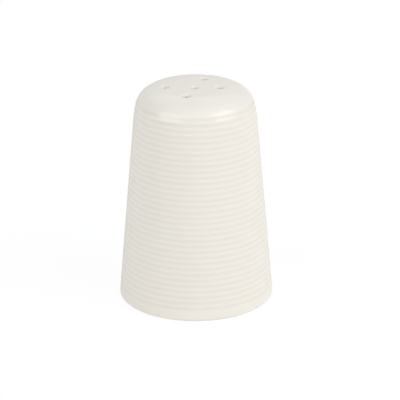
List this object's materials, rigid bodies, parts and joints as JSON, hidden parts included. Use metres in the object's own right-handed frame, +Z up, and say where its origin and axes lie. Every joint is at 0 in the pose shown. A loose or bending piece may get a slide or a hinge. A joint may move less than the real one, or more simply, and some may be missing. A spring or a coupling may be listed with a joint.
{
  "type": "salt pot",
  "caption": "Tapered ribbed porcelain salt pot with a rounded shoulder and pouring holes in its crown, filled through a base hole closed by a soft pull-out stopper.",
  "frame": {"origin": "on the table, under the middle of the pot", "axes": "+Z up along the pot's axis, -Y towards the front of the picture, +X to its right"},
  "size_m": [0.0565, 0.0566, 0.0804],
  "materials": {
    "porcelain": "clear gloss glaze over warm white porcelain, bare on the foot ring",
    "stopper": "soft satin moulding"
  },
  "bodies": {
    "pot": {"pot": "porcelain"},
    "stopper": {"stopper": "stopper"}
  },
  "joints": [
    {"name": "stopper_pull", "type": "slide", "parent": "pot", "child": "stopper", "axis": [0, 0, -1], "range_m": [0, 0.03]}
  ]
}
